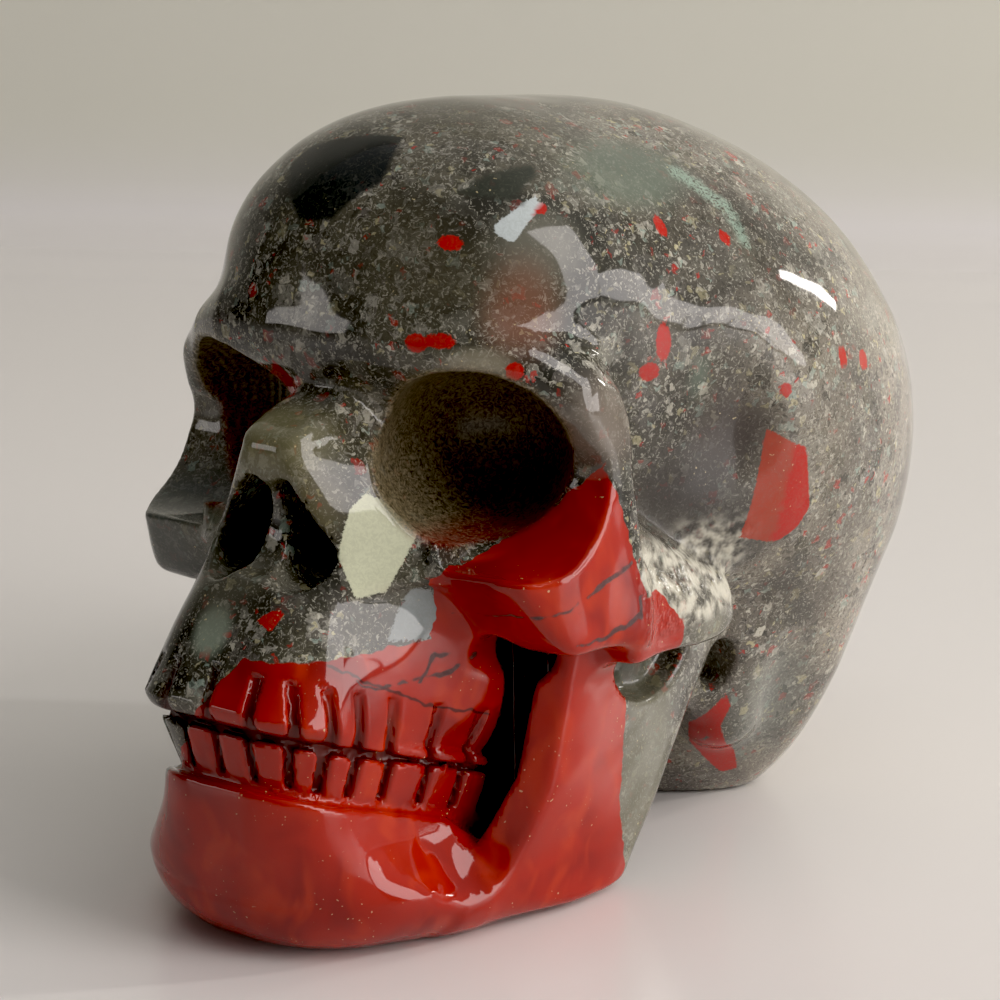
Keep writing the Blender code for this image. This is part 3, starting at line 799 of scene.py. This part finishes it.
def bloodstone():
    """Mottled grey-green stone full of pale flakes and red flecks, with one great mass of red
    jasper through the lower jaw, the teeth and the left cheekbone, cut by dark veins."""
    stone = bpy.data.materials.new("bloodstone")
    f = Finish(stone)
    spot = f.place()
    x, y, z = f.parts(spot)
    loose = f.warp(spot, 0.13, 3.2, 0.0)
    bent = f.warp(spot, 0.5, 0.6, 1.0)
    ragged = f.warp(spot, 0.9, 1.0, 1.0)
    grit = f.noise(ragged, 2.2, 2.0, 0.6)
    groove, socket, raw = f.value("groove"), f.value("socket"), f.value("raw")
    # Ground, with fine pale and dark grit and the soft lumps, some of them painted shade
    colour = matrix(f, loose, bent, ragged, y)
    colour = f.mix(grit.step(0.56, 0.66)*0.42, colour, CREAM)
    colour = f.mix((1 - grit.step(0.34, 0.44))*0.5, colour, DEEP)
    uncovered = 1 - f.value("lumps", "Alpha")
    colour = f.vector("MULTIPLY_ADD", colour, uncovered, f.value("lumps", "Color"))
    # The ledge above the arch, left raw from the cutter: pale, crinkled and cracked, with painted
    # highlight on the raised crinkles and painted shade in the cracks
    crinkle = f.noise(spot, 0.5, 2.0)
    colour = f.mix(raw*crinkle.step(0.34, 0.66)*0.8, colour, CREAM)
    colour = f.mix(raw*(1 - crinkle.step(0.34, 0.42))*0.4, colour, DEEP)
    # Blue-green streak, then the angular lumps with an edge roughened by the grit
    streak = f.seam(ragged, STREAK, STREAK_HALF, 0.9)
    colour = f.mix(streak*grit.step(0.36, 0.52)*0.75, colour, SEAFOAM)
    inside = (f.value("plugs", "Alpha") + (grit - 0.5)*6).step(-1, 1)
    shade = f.mix(grit.step(0.35, 0.70)*0.16, f.value("plugs", "Color"), OLIVE)
    colour = f.mix(inside*0.94, colour, shade)
    red = red_mass(f, bent)
    reds, vein = jasper(f, loose, bent, grit)
    colour = f.mix(red, colour, reds)
    # Painted shade, with some dirt, deepening into the cuts between the teeth and along the gum groove,
    # and painted shadow deep in the slot
    colour = f.mix(groove.most(gum_groove_shade(f, bent, x))*0.86, colour, CUT_DIRT_AND_SHADE)
    # Painted shadow filling the slot behind the left molars.
    colour = f.mix(f.value("slot")*0.85, colour, SLOT_SHADOW)
    colour = f.mix(socket*0.85, colour, bore_wall(f, x, z, grit))
    # Specks of pyrite, in swarms
    swarm = f.noise(spot, 0.13, 1.0).step(0.52, 0.62)
    spark = f.noise(spot, 2.4, 0.0).step(0.79, 0.83)*swarm*(1 - socket)
    f.put("Base Color", f.mix(spark*0.6, colour, PYRITE))
    gloss = grit.step(0.3, 0.8)*0.03 + 0.05
    gloss = gloss.most(socket*0.36).most(groove*0.35).most(raw*(1 - red)*0.22).most(vein*red*0.4)
    f.put("Roughness", gloss)
    f.put("IOR", 1.5)
    # Relief: slow polish waves, tool swirls in the sockets, crinkles on the raw ledge
    turn = f.vector("LENGTH", f.vector("SUBTRACT", spot, SWIRL), out="Value")
    ripple = f.noise(spot, 0.15, 0.0)
    height = ripple*0.8 + (turn*8.0 + ripple*14.0).sine()*socket*0.12 + raw*crinkle*2.4
    f.put("Normal", f.node("Bump", {}, {"Strength": 0.5, "Distance": UNIT*0.35, "Height": height}))
    return stone


skull = bpy.data.objects.new("skull_stone", stone_mesh("skull_stone"))
bpy.context.collection.objects.link(skull)
skull.data.materials.append(bloodstone())
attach(skull, "root")
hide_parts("skull")
print("triangles", 2*len(skull.data.polygons))

# Table and wall

AIM = (9.5, 4, 52.5)      # point the camera looks at, carving units
AZIMUTH, RISE = 35, 14    # where the camera stands, seen from there
AWAY = 345                # camera's distance, carving units
LENS = 2.45               # focal length over the frame's width
SHIFT = -0.03
TABLE_FRONT = -2.2        # metres toward the camera and past it
TABLE_HALF = 2.5          # half its width
TABLE_DROP = 0.0002       # how far it lies under the skull's flats
WALL = 0.54               # metres from the middle back to the wall
BEND = WALL - 0.06        # where the sheet starts to turn up
TURN = math.radians(10)   # the wall's turn against the view
TABLE_WHITE = rgb(233, 229, 226)
WALL_WHITE = rgb(225, 223, 211)
DAYLIGHT = (150, 25)      # the brightest side of the room
LIGHT_AIM = (0, 0, 0.05)  # point that every light looks at, metres


def metres(x, y, z):
    return (x*UNIT, (y - MIDDLE)*UNIT, z*UNIT)


def toward(azimuth, height):
    """Unit vector from the skull: azimuth from the face round to its left, in degrees."""
    a, e = math.radians(azimuth), math.radians(height)
    return np.array([math.sin(a)*math.cos(e), -math.cos(a)*math.cos(e), math.sin(e)])


def backdrop():
    """Table and wall in one sheet: flat, then turning up behind, a little nearer on the right."""
    run = np.concatenate([np.linspace(TABLE_FRONT, BEND, 60),
                          np.linspace(BEND + 0.005, BEND + 0.5, 100)])
    over = run - WALL
    rise = 2*(over + np.sqrt(over*over + 0.0001))*(run > BEND) - TABLE_DROP
    view = -toward(AZIMUTH, 0)[:2]
    back = view*math.cos(TURN) + np.array([view[1], -view[0]])*math.sin(TURN)
    side = np.array([back[1], -back[0]])*TABLE_HALF
    edges = [np.column_stack([run[:, None]*back + way*side, rise]) for way in (-1, 1)]
    n = np.arange(len(run) - 1)
    faces = np.stack([2*n, 2*n + 1, 2*n + 3, 2*n + 2], 1)
    mesh = bpy.data.meshes.new("table")
    mesh.from_pydata(np.stack(edges, 1).reshape(-1, 3).tolist(), [], faces.tolist())
    mesh.shade_smooth()
    wall = np.repeat(clamp(over/0.02 + 0.5, 0, 1), 2)
    mesh.attributes.new("wall", "FLOAT", "POINT").data.foreach_set("value", wall.astype(np.float32))
    paint = bpy.data.materials.new("table")
    f = Finish(paint)
    f.put("Base Color", f.mix(f.value("wall").step(0, 1), TABLE_WHITE, WALL_WHITE))
    f.put("Roughness", 0.26)
    mesh.materials.append(paint)
    table = bpy.data.objects.new("table", mesh)
    bpy.context.collection.objects.link(table)


def panel(name, azimuth, height, distance, wide, tall, power, colour, mirrored=True, roll=0):
    """Soft light at an azimuth and height in degrees, aimed at the skull and rolled about that
    line. Where it isn't mirrored, the polish doesn't show it."""
    lamp = bpy.data.lights.new(name, "AREA")
    lamp.shape = "RECTANGLE"
    lamp.size, lamp.size_y = wide, tall
    lamp.energy = power
    lamp.color = colour
    thing = bpy.data.objects.new(name, lamp)
    spot = toward(azimuth, height)*distance + LIGHT_AIM
    turns = ((math.radians(azimuth), "Z"), (math.radians(90 - height), "X"), (math.radians(roll), "Z"))
    stand = Matrix.Translation(spot)
    for angle, axis in turns:
        stand = stand @ Matrix.Rotation(angle, 4, axis)
    thing.matrix_world = stand
    thing.visible_glossy = mirrored
    bpy.context.collection.objects.link(thing)


def room():
    """World light: dim in front, brighter toward the side the daylight comes from and above."""
    world = bpy.data.worlds.new("room")
    bpy.context.scene.world = world
    f = Finish(world, "Background")
    facing = f.dot(f.node("TexCoord", {}, {}, "Generated"), toward(*DAYLIGHT))
    f.put("Color", (0.96, 0.94, 0.92, 1))
    f.put("Strength", f.node("MapRange", {"interpolation_type": "SMOOTHSTEP"}, {
        "Value": facing, "From Min": -0.3, "From Max": 1.0, "To Min": 0.06, "To Max": 0.60}))


backdrop()
room()
panel("window", 92, 26, 1.4, 0.60, 1.36, 12.4, (1.0, 0.95, 0.93))
panel("low_window", 113, 8, 1.4, 0.45, 0.34, 2.4, (1.0, 0.95, 0.93))
panel("sun", 132, 20, 3.0, 0.14, 0.14, 28.0, (1.0, 0.97, 0.93), mirrored=False)
panel("lamp", 148, 20, 0.9, 0.26, 0.05, 0.9, (1.0, 0.96, 0.90), roll=-52)
panel("far_window", -38, 8, 0.7, 0.18, 0.15, 0.22, (1.0, 0.95, 0.92))
panel("ceiling", 60, 75, 1.6, 1.6, 1.6, 5.6, (1.0, 0.99, 0.98), mirrored=False)
view = bpy.context.scene.view_settings
view.view_transform = "Standard"
view.use_curve_mapping = True
view.curve_mapping.black_level = (0.012, 0.012, 0.012)

camera = bpy.data.objects.new("camera", bpy.data.cameras.new("camera"))
camera.data.sensor_width = 36
camera.data.lens = 36*LENS
camera.data.shift_x = SHIFT
camera.location = metres(*(AIM + AWAY*toward(AZIMUTH, RISE)))
camera.rotation_euler = (math.radians(90 - RISE), 0, math.radians(AZIMUTH))
camera.data.clip_end = 20
bpy.context.collection.objects.link(camera)
bpy.context.scene.camera = camera
